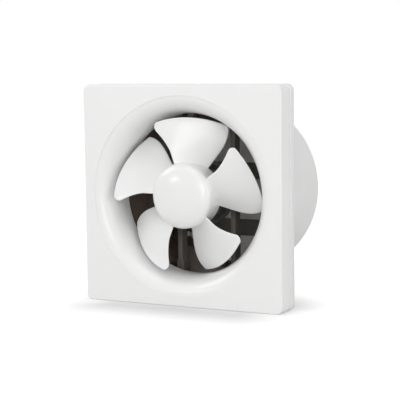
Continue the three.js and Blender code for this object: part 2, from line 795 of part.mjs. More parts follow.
put('run_capacitor', capacitor(), rubber());

// ---- motor lead: behind the left bar, along the sleeve, forward to the terminal box ----
const clipBore = leadRadius + 2 * gap;
const leadX = -barX - footWidth / 2 - leadRadius - 3 * gap;
const leadBehind = barRear + gap + clipWall + clipBore;
const leadLow = -halfChord((throatRadius + shellWall + sleeveInner) / 2, leadX);

const leadRoute = new THREE.CatmullRomCurve3([
  [-leadExit, cupRear + gap, -leadExit / 2],
  [-leadExit, cupRear + 4, -leadExit / 2],
  [-leadExit - 5, cupRear + 8, -leadExit / 2 - 5],
  [-barX, leadBehind + 1, -leadExit - 8],
  [-barX, leadBehind, clipZ + 14],
  [-barX, leadBehind, clipZ + 4],
  [-barX, leadBehind, clipZ - 4],
  [-barX, leadBehind, clipZ - 14],
  [-barX - 7, leadBehind + 1, leadLow + 17],
  [leadX, leadBehind - 2, leadLow + 5],
  [leadX, leadBehind - 12, leadLow],
  [leadX, barFront - 10, leadLow],
  [leadX, 10, leadLow],
  [leadX, 0, leadLow],
  [leadX, leadY + 5, leadLow],
  [leadX - 6, leadY, leadLow - 6],
  [leadX - 24, leadY, leadLow - 9],
  [boxRight + 12, leadY, leadZ],
  [boxRight - 6, leadY, leadZ],
].map(([x, y, z]) => new THREE.Vector3(x, y, z)), false, 'centripetal');

function roundSection(radius, sides) {
  const shape = new THREE.Shape();
  for (let i = 0; i < sides; i++) {
    const a = (i / sides) * 2 * Math.PI;
    const [x, y] = [radius * Math.cos(a), radius * Math.sin(a)];
    if (i === 0) shape.moveTo(x, y);
    else shape.lineTo(x, y);
  }
  shape.closePath();
  return shape;
}

put('motor_lead', solid(new THREE.ExtrudeGeometry(roundSection(leadRadius, 8), {
  steps: 36, extrudePath: leadRoute, bevelEnabled: false,
})), rubber());

function leadClip() {
  const half = clipHeight / 2;
  const block = box(-barX - barWidth / 2, -barX + barWidth / 2, barRear + gap,
    leadBehind + clipBore + clipWall, clipZ - half, clipZ + half);
  return cut(block, rodZ(clipBore, clipZ - half - over, clipZ + half + over, -barX, leadBehind, smallSides));
}

put('lead_clip', leadClip(), ivory());

export default fan;
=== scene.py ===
"""Window exhaust fan: fine surfaces, materials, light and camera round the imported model.

Lengths in this script are millimetres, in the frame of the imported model: X right, Y back
along the fan axis, Z up, with the origin on the axis in the plane of the wall that the square
frame rests against. make() turns them into Blender's metres.
"""
import math

import bmesh
import bpy
from mathutils import Matrix, Vector


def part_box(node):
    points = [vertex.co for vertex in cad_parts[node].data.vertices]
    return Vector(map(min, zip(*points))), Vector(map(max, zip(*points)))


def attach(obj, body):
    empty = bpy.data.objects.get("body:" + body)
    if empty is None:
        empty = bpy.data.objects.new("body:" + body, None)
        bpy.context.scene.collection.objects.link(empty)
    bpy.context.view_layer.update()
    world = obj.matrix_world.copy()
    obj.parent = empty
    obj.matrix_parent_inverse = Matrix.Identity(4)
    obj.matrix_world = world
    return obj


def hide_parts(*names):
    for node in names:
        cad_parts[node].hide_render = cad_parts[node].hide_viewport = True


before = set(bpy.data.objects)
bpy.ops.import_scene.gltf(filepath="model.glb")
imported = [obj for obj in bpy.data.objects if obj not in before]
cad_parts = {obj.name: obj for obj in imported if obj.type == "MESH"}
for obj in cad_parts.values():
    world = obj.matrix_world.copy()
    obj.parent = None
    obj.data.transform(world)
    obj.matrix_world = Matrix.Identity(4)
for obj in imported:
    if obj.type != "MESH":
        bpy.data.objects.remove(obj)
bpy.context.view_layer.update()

MM = 0.001
GAP = 0.3  # clearance between pieces that fit together


def node_box(node):
    """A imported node's lowest and highest corner in millimetres."""
    return [[v / MM for v in corner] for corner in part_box(node)]


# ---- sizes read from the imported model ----
(_, FRONT, _), (HALF, THROAT_END, _) = node_box("front_cover")
(_, _, FLOOR), _ = node_box("wall_frame")
_, (_, DUCT_END, _) = node_box("duct")
(_, SLEEVE_START, _), (SLEEVE_OUTER, SLEEVE_END, _) = node_box("inner_sleeve")
(_, NOSE_START, _), _ = node_box("motor_front_shield")
_, (_, REAR_NOSE_END, _) = node_box("motor_rear_shield")
(_, BAR_FRONT, _), (_, BAR_REAR, _) = node_box("motor_bar_right")
(_, SHAFT_START, _), (SHAFT_RADIUS, SHAFT_END, _) = node_box("motor_shaft")
HINGE_Y = sum(corner[1] for corner in node_box("flap_rod_top")) / 2

# ---- the remaining sizes, as in the construction ----
CORNER = 10.0
SHELL = 2.5
FRAME_DEPTH = 18.0
SEAM = 0.4
RECESS_DEPTH = 1.5
RECESS_WIDTH = 7.0
LIP_REACH = 8.0
LIP_WALL = 2.0
WALL_FLANGE = 3.0
WALL_SCREW_INSET = 14.0
WALL_SCREW_HOLE = 2.75
COLLAR_REACH = 5.0
COLLAR_THICKNESS = 2.0
MOUTH_STEP = 1.2
MOUTH_LAP = 2.0
MOUTH_FLARE = 28.0
BELL_DEPTH = 42.0
DUCT_INNER = SLEEVE_OUTER + GAP
DUCT_RADIUS = DUCT_INNER + SHELL
SLEEVE_INNER = SLEEVE_OUTER - SHELL
THROAT_CLEARANCE = 6.2  # between the throat's outside and the liner, where the lead passes
TIP_CLEARANCE = 5.5
THROAT = SLEEVE_INNER - THROAT_CLEARANCE - SHELL
MOUTH = THROAT + MOUTH_FLARE
TIP = THROAT - TIP_CLEARANCE
HUB = 50.5
HUB_NOSE = 8.0
HUB_DEPTH = 38.5
HUB_WALL = 2.5
HUB_DOME = 19.0
HUB_ROUNDNESS = 2.6
BOSS = 11.0
BOSS_REACH = 4.0
BUSH = 7.5
HUB_END = FRONT + HUB_DEPTH
GRUB_Y = HUB_END - 8.0
SKIRT_STEP = 0.5  # the hub's skirt widens this much toward the rear
BLADES = 5
BLADE_THICKNESS = 2.6
# A blade's edges, in degrees back from BLADE_ANGLE, and where along the span each bend starts.
BLADE_ANGLE = 111.9
LEAD_ROOT = 5.5
LEAD_SWEEP = 15.0
LEAD_SWEEP_FROM = 0.28
LEAD_SWEEP_POWER = 1.2
LEAD_ROUNDING = 5.5
LEAD_ROUND_FROM = 0.78
TRAIL_ROOT = 57.6
TRAIL_TAPER = 0.3
TRAIL_ROUNDING = 7.1
TRAIL_ROUND_FROM = 0.34
ROUNDING_POWER = 2.6
# The leading edge's place behind the front plane, and how far the blade runs back from it.
BLADE_SETBACK = 9.5
BLADE_ADVANCE = 5.0
ROOT_DEPTH = 28.5
TIP_DEPTH_GAIN = 21.0
TIP_CAMBER = 0.4
BAR_X = 47.5
EAR_Z = 20.0
BAR_WIDTH = 8.0
FOOT_WIDTH = 13.0
FOOT_HEIGHT = 9.0
SCREW = 1.9
SCREW_HEAD = 3.6
SCREW_HOLE = SCREW + GAP
BAR_END = math.sqrt((SLEEVE_INNER - GAP) ** 2 - (BAR_X + BAR_WIDTH / 2) ** 2) - FOOT_HEIGHT
SEAT_DEPTH = 5.0  # from a bar's narrow end to where the heads of its foot screws bear
FOOT_SEAT = BAR_END + SEAT_DEPTH
FOOT_SCREW_Y = (BAR_FRONT + BAR_REAR) / 2
PLATE_SETBACK = 7.0
PLATE = 3.0
PLATE_REAR = DUCT_END - PLATE_SETBACK
PLATE_FRONT = PLATE_REAR - PLATE
WINDOW = SLEEVE_OUTER - 8.0
RAIL_TOPS = (38.0, -56.0)
RAIL_HEIGHT = 27.0
TOP_RAIL = 102.0


# ---- mesh making ----
OVERRUN = 1.0  # how far a cutting tool reaches past the faces that it opens
EDGE_RING = 3.0  # from an edge to the next ring, so that the face between them shades flat
THIN_RING = 0.4  # the same on a thin wall
DUCT_SIDES = 224
HUB_SIDES = 192
FLANGE_SIDES = 288


def tidy(mesh, angle=32):
    """Merges doubled points, turns the faces outward and smooths all but the crisp edges."""
    work = bmesh.new()
    work.from_mesh(mesh)
    bmesh.ops.remove_doubles(work, verts=work.verts, dist=1e-7)
    bmesh.ops.dissolve_degenerate(work, edges=work.edges, dist=1e-8)
    bmesh.ops.recalc_face_normals(work, faces=work.faces)
    work.to_mesh(mesh)
    work.free()
    mesh.shade_smooth()
    mesh.set_sharp_from_angle(angle=math.radians(angle))


def placed(name, data):
    """A new object in the scene for a mesh, curve, lamp or camera."""
    obj = bpy.data.objects.new(name, data)
    bpy.context.scene.collection.objects.link(obj)
    return obj


def make(name, points, faces):
    """A mesh object from points in millimetres."""
    mesh = bpy.data.meshes.new(name)
    mesh.from_pydata([(x * MM, y * MM, z * MM) for x, y, z in points], [], faces)
    tidy(mesh)
    return placed(name, mesh)


def evaluated(obj):
    """The object's mesh, with its modifiers or its curve's thickness worked out."""
    graph = bpy.context.evaluated_depsgraph_get()
    return bpy.data.meshes.new_from_object(obj.evaluated_get(graph), depsgraph=graph)


def applied(obj):
    """Turns the object's modifiers into its mesh."""
    mesh = evaluated(obj)
    obj.modifiers.clear()
    obj.data = mesh
    return obj


def combine(obj, others, operation):
    """Joins other closed objects to obj, or cuts them from it, and removes them."""
    for other in others:
        modifier = obj.modifiers.new(operation, "BOOLEAN")
        modifier.object = other
        modifier.operation = operation
        modifier.solver = "EXACT"
    applied(obj)
    for other in others:
        bpy.data.objects.remove(other)
    tidy(obj.data)
    return obj


def cut(obj, tools):
    return combine(obj, tools, "DIFFERENCE")


def join(obj, others):
    return combine(obj, others, "UNION")


def soften(obj, width, segments=3, angle=40):
    """Rounds the crisp edges."""
    modifier = obj.modifiers.new("round", "BEVEL")
    modifier.width = width * MM
    modifier.segments = segments
    modifier.limit_method = "ANGLE"
    modifier.angle_limit = math.radians(angle)
    applied(obj)
    tidy(obj.data, angle=50)
    return obj


def even_normals(obj):
    """Keeps broad flat faces flat in the shading, with the turn in the rounded edges."""
    modifier = obj.modifiers.new("normals", "WEIGHTED_NORMAL")
    modifier.keep_sharp = True
    return applied(obj)


def fillet(points, closed=True, steps=5):
    """An outline from points (a, b) or (a, b, radius), rounded where they have a radius."""
    most = 0.49  # of a side, so that the roundings at its two ends stay apart
    result = []
    count = len(points)
    for i, point in enumerate(points):
        radius = point[2] if len(point) > 2 else 0
        here = Vector(point[:2])
        if not radius or (not closed and i in (0, count - 1)):
            result.append(tuple(here))
            continue
        before = Vector(points[i - 1][:2]) - here
        after = Vector(points[(i + 1) % count][:2]) - here
        half = before.angle(after) / 2
        reach = min(radius / math.tan(half), most * before.length, most * after.length)
        start = here + before.normalized() * reach
        end = here + after.normalized() * reach
        for k in range(steps + 1):
            t = k / steps
            result.append(tuple(start * (1 - t) ** 2 + here * 2 * t * (1 - t) + end * t ** 2))
    return result


def even_angles(sides):
    return [2 * math.pi * k / sides for k in range(sides)]


def square_angles(side_steps=44, corner_steps=22, corner_span=math.radians(9)):
    """Angles round a square, close together at its corners."""
    angles = []
    quarter = math.pi / 2
    for k in range(4):
        start = k * quarter + quarter / 2 - corner_span / 2
        angles += [start + corner_span * i / corner_steps for i in range(corner_steps)]
        side = quarter - corner_span
        angles += [start + corner_span + side * i / side_steps for i in range(side_steps)]
    return angles


def circle(radius):
    return lambda angle: radius


def rounded_square(half, corner):
    """The distance from the centre to a rounded square's side at an angle."""
    centre = half - corner

    def reach(angle):
        a, b = sorted((abs(math.cos(angle)), abs(math.sin(angle))), reverse=True)
        if half * b / a <= centre:
            return half / a
        along = centre * (a + b)
        return along + math.sqrt(along ** 2 - 2 * centre ** 2 + corner ** 2)

    return reach


def skin(count, sides, closed=False):
    """The faces of a skin over rings of points, of which the last can join the first."""
    faces = []
    for i in range(count if closed else count - 1):
        j = (i + 1) % count
        for k in range(sides):
            m = (k + 1) % sides
            faces.append((i * sides + k, j * sides + k, j * sides + m, i * sides + m))
    return faces


def rings(name, outlines, angles, closed=True):
    """A skin through rings round the fan axis, each a (reach, y) pair."""
    points = []
    for reach, y in outlines:
        points += [(reach(a) * math.cos(a), y, reach(a) * math.sin(a)) for a in angles]
    return even_normals(make(name, points, skin(len(outlines), len(angles), closed)))


def turned(name, profile, sides=160, closed=True):
    """A turned piece from (radius, y) or (radius, y, fillet) points of its section."""
    section = fillet(profile, closed)
    return rings(name, [(circle(max(r, 0)), y) for r, y in section], even_angles(sides), closed)


def tube(name, outer, inner, y0, y1, edge=0.4, sides=160):
    corners = [(outer, y0), (outer, y1), (inner, y1), (inner, y0)]
    return turned(name, [(*corner, edge) for corner in corners], sides)


def prism(name, outline, y0, y1):
    """A flat outline of (x, z) points with thickness from y0 to y1."""
    count = len(outline)
    points = [(x, y0, z) for x, z in outline] + [(x, y1, z) for x, z in outline]
    faces = [tuple(range(count)), tuple(range(2 * count - 1, count - 1, -1))]
    for k in range(count):
        m = (k + 1) % count
        faces.append((k, m, count + m, count + k))
    return make(name, points, faces)


def block(name, low, high, edge=0.5, segments=3):
    """A box between two corners, with rounded edges."""
    (x0, y0, z0), (x1, y1, z1) = low, high
    body = prism(name, [(x0, z0), (x1, z0), (x1, z1), (x0, z1)], y0, y1)
    return even_normals(soften(body, edge, segments)) if edge else body


def rod(name, radius, start, end, edge=0.0, sides=48):
    """A round rod between two points, with the edges of its ends rounded."""
    start, end = Vector(start), Vector(end)
    length = (end - start).length
    profile = [(0, 0), (radius, 0, edge), (radius, length, edge), (0, length)]
    section = fillet(profile, closed=False, steps=4)
    turn = Vector((0, 1, 0)).rotation_difference(end - start).to_matrix()
    points = []
    for r, y in section:
        for a in even_angles(sides):
            points.append(tuple(turn @ Vector((r * math.cos(a), y, r * math.sin(a))) + start))
    return make(name, points, skin(len(section), sides))


def arc(radius, start, end, steps):
    """Points (x, z) on a circle round the axis, from one angle to another in radians."""
    angles = [start + (end - start) * k / steps for k in range(steps + 1)]
    return [(radius * math.cos(a), radius * math.sin(a)) for a in angles]


def half_chord(radius, level):
    return math.sqrt(max(0.0, radius ** 2 - level ** 2))


# ---- materials ----
NOISE_SPAN = (0.3, 0.7)  # where most of a noise's values lie
WAVE_BAND = 0.314  # metres to a band of the wave texture at scale 1


def add_node(tree, kind, inputs=(), **settings):
    """A new shader node, each of whose inputs is given a value or another node's output."""
    made = tree.nodes.new(kind)
    for name, value in settings.items():
        setattr(made, name, value)
    for socket, value in dict(inputs).items():
        if isinstance(value, bpy.types.NodeSocket):
            tree.links.new(value, made.inputs[socket])
        else:
            made.inputs[socket].default_value = value
    return made


class Shader:
    """A node material in the making: surface detail on one Principled shader."""

    def __init__(self, name, roughness, metallic=0.0, **sockets):
        self.material = bpy.data.materials.new(name)
        self.material.use_nodes = True
        self.tree = self.material.node_tree
        self.shader = self.tree.nodes["Principled BSDF"]
        self.shader.inputs["Roughness"].default_value = roughness
        self.shader.inputs["Metallic"].default_value = metallic
        for socket, value in sockets.items():
            self.shader.inputs[socket.replace("_", " ")].default_value = value
        self.place = self.node("ShaderNodeTexCoord").outputs["Object"]

    def node(self, kind, inputs=(), **settings):
        return add_node(self.tree, kind, inputs, **settings)

    def stretched(self, scale):
        return self.node("ShaderNodeMapping", {"Vector": self.place, "Scale": scale}).outputs[0]

    def noise(self, size, detail=3.0, place=None):
        """Noise whose lumps are about size millimetres across."""
        scale = 1 / (size * MM)
        made = self.node("ShaderNodeTexNoise", {
            "Vector": place or self.place, "Scale": scale, "Detail": detail})
        return made.outputs["Fac"]

    def spread(self, value, low, high):
        """Maps the middle of a 0 to 1 value to low and high."""
        return self.node("ShaderNodeMapRange", {
            "Value": value, "From Min": NOISE_SPAN[0], "From Max": NOISE_SPAN[1],
            "To Min": low, "To Max": high,
        }).outputs[0]

    def tint(self, value, dark, light):
        ramp = self.node("ShaderNodeValToRGB", {"Fac": value})
        for stop, position, color in zip(ramp.color_ramp.elements, NOISE_SPAN, (dark, light)):
            stop.position = position
            stop.color = (*color, 1)
        self.tree.links.new(ramp.outputs[0], self.shader.inputs["Base Color"])

    def rough(self, value, low, high):
        self.tree.links.new(self.spread(value, low, high), self.shader.inputs["Roughness"])

    def bump(self, value, depth):
        """Relief of a depth in millimetres, over any relief that came before."""
        inputs = {"Height": value, "Distance": depth * MM}
        link = self.shader.inputs["Normal"].links
        if link:
            inputs["Normal"] = link[0].from_socket
        made = self.node("ShaderNodeBump", inputs)
        self.tree.links.new(made.outputs[0], self.shader.inputs["Normal"])


def scaled(color, factor):
    return tuple(min(1.0, c * factor) for c in color)


def plastic(name, color, roughness, grain=0.6, grain_depth=0.012, mottle=0.012, coat=0.0):
    """Moulded plastic: faint mottling, a fine grain and a slow moulding wave."""
    s = Shader(name, roughness, IOR=1.49, Coat_Weight=coat, Coat_Roughness=0.18)
    slow = s.noise(60.0, detail=2.0)
    s.tint(slow, scaled(color, 1 - mottle), scaled(color, 1 + mottle))
    s.rough(s.noise(14.0), roughness - 0.04, roughness + 0.04)
    s.bump(s.noise(35.0, detail=1.0), depth=0.05)
    s.bump(s.noise(grain), grain_depth)
    return s.material


def brown_film():
    """The polished dark liner, its colour with lighter lines along the fan axis that are painted
    reflections.
    """
    s = Shader("brown_plastic", 0.2, metallic=0.55, IOR=1.52, Coat_Weight=0.6, Coat_Roughness=0.08)
    reflection_streaks = s.noise(9.0, detail=4.0, place=s.stretched((0.25, 3.0, 0.25)))
    # the lighter lines in the colour are painted reflections
    s.tint(reflection_streaks, (0.200, 0.150, 0.115), (0.340, 0.255, 0.195))
    s.rough(s.noise(22.0), 0.13, 0.26)
    s.bump(s.noise(40.0, detail=1.0), depth=0.12)
    s.bump(reflection_streaks, depth=0.015)
    return s.material


def enamel():
    """Stove enamel on sheet steel, with its orange peel."""
    s = Shader("black_enamel", 0.34, IOR=1.5, Coat_Weight=0.2, Coat_Roughness=0.12)
    s.tint(s.noise(30.0), (0.060, 0.059, 0.055), (0.082, 0.080, 0.074))
    s.rough(s.noise(8.0), 0.26, 0.42)
    s.bump(s.noise(1.8, detail=2.0), depth=0.03)
    return s.material


def flap_sheet():
    """Thin grey sheet with the fine upright lines of its rolling."""
    s = Shader("flap_grey", 0.5, IOR=1.48)
    lines = s.noise(1.6, place=s.stretched((1.0, 1.0, 0.04)))
    s.tint(s.noise(24.0), (0.83, 0.83, 0.82), (0.90, 0.90, 0.89))
    s.rough(lines, 0.42, 0.6)
    s.bump(lines, depth=0.03)
    return s.material


def metal(name, color, roughness, streak=(1.0, 1.0, 1.0), size=1.2, depth=0.012):
    """Bare metal with the marks of its making drawn out along one axis."""
    s = Shader(name, roughness, metallic=1.0)
    marks = s.noise(size, detail=4.0, place=s.stretched(streak))
    s.tint(s.noise(7.0), scaled(color, 0.86), scaled(color, 1.08))
    s.rough(marks, roughness - 0.07, roughness + 0.1)
    s.bump(marks, depth)
    return s.material


def bands(name, dark, light, roughness, metallic, pitch, direction, depth):
    """A stack of sheets or a layer of wires, as bands of one pitch in millimetres."""
    s = Shader(name, roughness, metallic=metallic)
    wave = s.node("ShaderNodeTexWave", {
        "Vector": s.place, "Scale": WAVE_BAND / (pitch * MM), "Distortion": 0.6,
        "Detail": 2.0, "Detail Scale": 1.5,
    }, wave_type="BANDS", bands_direction=direction).outputs["Fac"]
    s.tint(wave, dark, light)
    s.rough(s.noise(5.0), roughness - 0.08, roughness + 0.08)
    s.bump(wave, depth)
    return s.material


WHITE = (0.872, 0.870, 0.866)
MATERIALS = {
    "cover_white": plastic("cover_white", WHITE, 0.36, mottle=0.008, coat=0.35),
    "blade_white": plastic("blade_white", scaled(WHITE, 0.985), 0.32, mottle=0.01, coat=0.5),
    "duct_white": plastic("duct_white", scaled(WHITE, 0.97), 0.46, grain=0.9, grain_depth=0.03),
    "brown_plastic": brown_film(),
    "black_enamel": enamel(),
    "black_plastic": plastic("black_plastic", (0.155, 0.144, 0.128), 0.36, mottle=0.15),
    "flap_grey": flap_sheet(),
    "steel": metal("steel", (0.58, 0.58, 0.60), 0.28, streak=(0.05, 1.0, 1.0)),
    "zinc_steel": metal("zinc_steel", (0.66, 0.66, 0.65), 0.34, size=2.2),
    "brass": metal("brass", (0.70, 0.52, 0.25), 0.3, streak=(1.0, 3.0, 1.0)),
    "bronze": metal("bronze", (0.50, 0.36, 0.20), 0.42, size=0.5, depth=0.03),
    "copper_wire": bands("copper_wire", (0.20, 0.07, 0.03), (0.62, 0.27, 0.12),
                         roughness=0.35, metallic=0.8, pitch=0.9, direction="Z", depth=0.25),
    "lamination_steel": bands("lamination_steel", (0.10, 0.10, 0.11), (0.32, 0.33, 0.34),
                              roughness=0.5, metallic=0.7, pitch=0.5, direction="Y", depth=0.12),
    "rubber": plastic("rubber", (0.022, 0.022, 0.021), 0.72, grain=0.9, grain_depth=0.05,
                      mottle=0.2),
    "ivory_plastic": plastic("ivory_plastic", (0.70, 0.66, 0.54), 0.42, mottle=0.04),
    "capacitor_case": plastic("capacitor_case", (0.030, 0.030, 0.033), 0.38, mottle=0.12),
}


def finish_piece(obj, slot, body, *nodes):
    """Gives a piece its material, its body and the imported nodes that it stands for."""
    obj.data.materials.clear()
    obj.data.materials.append(MATERIALS[slot])
    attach(obj, body)
    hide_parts(*nodes)


# ---- front cover, wall frame, duct and its liner ----
COVER_REAR = -FRAME_DEPTH - SEAM
BELL_START = FRONT + MOUTH_STEP
BELL_REACH = MOUTH - MOUTH_LAP / 2 - THROAT
EDGE = 3.0  # rounding of the panel's front edges


def squares(stretch, inner_corner=1.2):
    """Rounded squares from (inset, y) points; the corner radius shrinks with the inset."""
    return [(rounded_square(HALF - inset, max(CORNER - inset, inner_corner)), y)
            for inset, y in stretch]


def circles(stretch):
    return [(circle(radius), y) for radius, y in stretch]


def bell(offset, steps=22):
    """A quarter ellipse from the mouth to the throat, moved out along its normal."""
    points = []
    for i in range(steps + 1):
        t = math.pi / 2 * i / steps
        radius = THROAT + BELL_REACH * (1 - math.sin(t))
        y = BELL_START + BELL_DEPTH * (1 - math.cos(t))
        normal = Vector((BELL_DEPTH * math.sin(t), BELL_REACH * math.cos(t))).normalized()
        points.append((radius + offset * normal.x, y + offset * normal.y))
    return points


def front_cover():
    outer_edge = MOUTH + MOUTH_LAP
    throat_ring = THROAT_END - EDGE_RING
    rim = fillet([(SHELL, COVER_REAR), (0, COVER_REAR, 0.6), (0, FRONT, EDGE),
                  (EDGE + EDGE_RING / 2, FRONT)], closed=False, steps=7)
    mouth = fillet([(outer_edge, FRONT), (MOUTH, FRONT, 0.35), (MOUTH, BELL_START),
                    (MOUTH - MOUTH_LAP / 2, BELL_START)], closed=False)
    throat = fillet([(THROAT, throat_ring), (THROAT, THROAT_END, 1.0),
                     (THROAT + SHELL, THROAT_END, 1.0), (THROAT + SHELL, throat_ring)],
                    closed=False)
    behind = bell(SHELL)[::-1][:-1]
    behind += [(outer_edge, BELL_START + SHELL), (outer_edge, FRONT + SHELL)]
    inside = [(SHELL, FRONT + SHELL), (SHELL, COVER_REAR - THIN_RING)]
    stretches = squares(rim) + circles(mouth[:-1] + bell(0) + throat + behind) + squares(inside)
    piece = rings("cover_moulding", stretches, square_angles())
    finish_piece(piece, "cover_white", "cover", "front_cover")


def foot_holes():
    tools = []
    for x in (-BAR_X, BAR_X):
        for side in (-1, 1):
            start = (x, FOOT_SCREW_Y, side * BAR_END)
            end = (x, FOOT_SCREW_Y, side * (DUCT_RADIUS + 2 * OVERRUN))
            tools.append(rod("hole", SCREW_HOLE, start, end, sides=32))
    return tools


GROMMET = 8.0
INLET_X = node_box("cable_grommet")[0][0] + GROMMET
INLET_Z = node_box("cable_grommet")[0][2] + GROMMET
GROMMET_NECK = 6.5
GROMMET_BORE = 4.0


def wall_frame():
    lip_outer = SHELL + GAP
    lip_inner = lip_outer + LIP_WALL
    step = -FRAME_DEPTH + RECESS_WIDTH
    outside = fillet([
        (EDGE_RING, 0), (0, 0, 0.8), (0, step, 0.4), (RECESS_DEPTH, step),
        (RECESS_DEPTH, -FRAME_DEPTH, 0.3), (lip_outer, -FRAME_DEPTH),
        (lip_outer, -FRAME_DEPTH - LIP_REACH, 0.5), (lip_inner, -FRAME_DEPTH - LIP_REACH, 0.5),
        (lip_inner, -WALL_FLANGE, 1.0), (lip_inner + EDGE_RING, -WALL_FLANGE),
    ], closed=False)
    hole = DUCT_RADIUS + GAP
    inside = fillet([(hole + EDGE_RING, -WALL_FLANGE), (hole, -WALL_FLANGE, 0.4),
                     (hole, 0, 0.4), (hole + EDGE_RING, 0)], closed=False)
    piece = rings("frame_moulding", squares(outside) + circles(inside), square_angles())
    inset = HALF - WALL_SCREW_INSET
    front = -WALL_FLANGE - OVERRUN
    tools = [rod("hole", WALL_SCREW_HOLE, (x, front, z), (x, OVERRUN, z), sides=32)
             for x, z in ((inset, inset), (-inset, inset), (inset, -inset))]
    inlet = GROMMET_NECK + GAP
    tools.append(rod("hole", inlet, (INLET_X, front, INLET_Z), (INLET_X, OVERRUN, INLET_Z)))
    finish_piece(even_normals(cut(piece, tools)), "duct_white", "housing", "wall_frame")


def duct():
    collar = DUCT_RADIUS + COLLAR_REACH
    collar_rear = -WALL_FLANGE - GAP
    collar_front = collar_rear - COLLAR_THICKNESS
    piece = turned("duct_moulding", [
        (DUCT_INNER, collar_front, 0.8), (DUCT_INNER, DUCT_END, 0.7), (DUCT_RADIUS, DUCT_END, 0.7),
        (DUCT_RADIUS, collar_rear), (collar, collar_rear, 0.5), (collar, collar_front, 0.5),
    ], DUCT_SIDES)
    finish_piece(even_normals(cut(piece, foot_holes())), "duct_white", "housing", "duct")


def sleeve():
    piece = tube("sleeve_liner", SLEEVE_OUTER, SLEEVE_INNER, SLEEVE_START, SLEEVE_END, 0.6,
                 DUCT_SIDES)
    finish_piece(even_normals(cut(piece, foot_holes())), "brown_plastic", "housing", "inner_sleeve")


# ---- impeller ----
def past(span, start):
    """How far a share of the span lies beyond its start, from 0 there to 1 at the tip."""
    return max(0.0, (span - start) / (1 - start))


def blade_point(r, s):
    """A point of a blade's middle surface: r its radius, s from leading to trailing edge."""
    span = (r - HUB) / (TIP - HUB)
    lead = (LEAD_ROOT - LEAD_SWEEP * max(0.0, span - LEAD_SWEEP_FROM) ** LEAD_SWEEP_POWER
            + LEAD_ROUNDING * past(span, LEAD_ROUND_FROM) ** ROUNDING_POWER)
    trail = (TRAIL_ROOT - TRAIL_TAPER * span
             - TRAIL_ROUNDING * past(span, TRAIL_ROUND_FROM) ** ROUNDING_POWER)
    angle = math.radians(BLADE_ANGLE - lead - (trail - lead) * s)
    depth = ROOT_DEPTH + TIP_DEPTH_GAIN * span
    y = FRONT + BLADE_SETBACK - BLADE_ADVANCE * span + depth * s ** (1 + TIP_CAMBER * span)
    return Vector((r * math.cos(angle), y, r * math.sin(angle)))


def bullnose(distance, half):
    """Half the thickness at a distance from a rounded edge."""
    return half * math.sqrt(1 - (1 - min(1.0, distance / half)) ** 2)


def blade(turn, span_steps=30, chord_steps=30):
    root = HUB - HUB_WALL / 2
    half = BLADE_THICKNESS / 2
    flare = 2.2  # how much the blade thickens where it meets the hub
    flare_reach = 7.0
    crowding = 1.15  # above 1, it draws the first rows in toward the root
    probe = 0.02  # the share of the chord over which the surface's direction is taken
    upper, lower = [], []
    for i in range(span_steps + 1):
        u = i / span_steps
        r = root + (TIP - root) * math.sin(u * math.pi / 2) ** crowding
        chord = (blade_point(r, 1) - blade_point(r, 0)).length
        root_flare = flare * max(0.0, 1 - (r - root) / flare_reach) ** 2
        for j in range(chord_steps + 1):
            s = 0.5 - 0.5 * math.cos(math.pi * j / chord_steps)
            point = blade_point(r, s)
            along = blade_point(r, min(1, s + probe)) - blade_point(r, max(0, s - probe))
            normal = along.cross(Vector((point.x, 0, point.z))).normalized()
            thick = bullnose(min(s, 1 - s) * chord, half + root_flare)
            thick = min(thick, bullnose(TIP - r, half))
            upper.append(point + normal * thick)
            lower.append(point - normal * thick)
    columns = chord_steps + 1
    total = len(upper)
    faces = []
    for i in range(span_steps):
        for j in range(chord_steps):
            a = i * columns + j
            faces.append((a, a + 1, a + columns + 1, a + columns))
            faces.append((total + a, total + a + columns, total + a + columns + 1, total + a + 1))
    for j in range(chord_steps):
        faces.append((j, total + j, total + j + 1, j + 1))
    spin = Matrix.Rotation(turn, 3, "Y")
    return make("blade", [tuple(spin @ p) for p in upper + lower], faces)


def dome(radius, depth, inner, steps=20):
    """The hub's dome from an inner radius out, (radius, y) on a squared ellipse."""
    start = math.asin((inner / radius) ** (HUB_ROUNDNESS / 2))
    points = []
    for i in range(steps + 1):
        t = start + (math.pi / 2 - start) * i / steps
        rise = depth * max(0.0, math.cos(t)) ** (2 / HUB_ROUNDNESS)
        points.append((radius * math.sin(t) ** (2 / HUB_ROUNDNESS),
                       FRONT - HUB_NOSE + HUB_DOME - rise))
    return points


def impeller():
    skirt = HUB + SKIRT_STEP
    bore = BUSH + GAP
    boss_end = HUB_END + BOSS_REACH
    profile = dome(HUB, HUB_DOME, 0)
    profile += [(skirt, HUB_END, 0.8), (skirt - HUB_WALL, HUB_END, 0.8)]
    profile += dome(HUB - HUB_WALL, HUB_DOME - HUB_WALL, BOSS)[::-1]
    profile += [(BOSS, boss_end, 0.5), (bore, boss_end, 0.5), (bore, SHAFT_START - HUB_WALL),
                (0, SHAFT_START - HUB_WALL)]
    hub = turned("impeller_moulding", profile, HUB_SIDES, closed=False)
    blades = [blade(2 * math.pi * k / BLADES) for k in range(BLADES)]
    join(hub, blades)
    hole = rod("hole", SCREW_HOLE, (0, GRUB_Y, 0), (0, GRUB_Y, BOSS + OVERRUN), sides=32)
    nodes = ["hub", "hub_boss"] + [f"blade_{k + 1}" for k in range(BLADES)]
    finish_piece(cut(hub, [hole]), "blade_white", "impeller", *nodes)


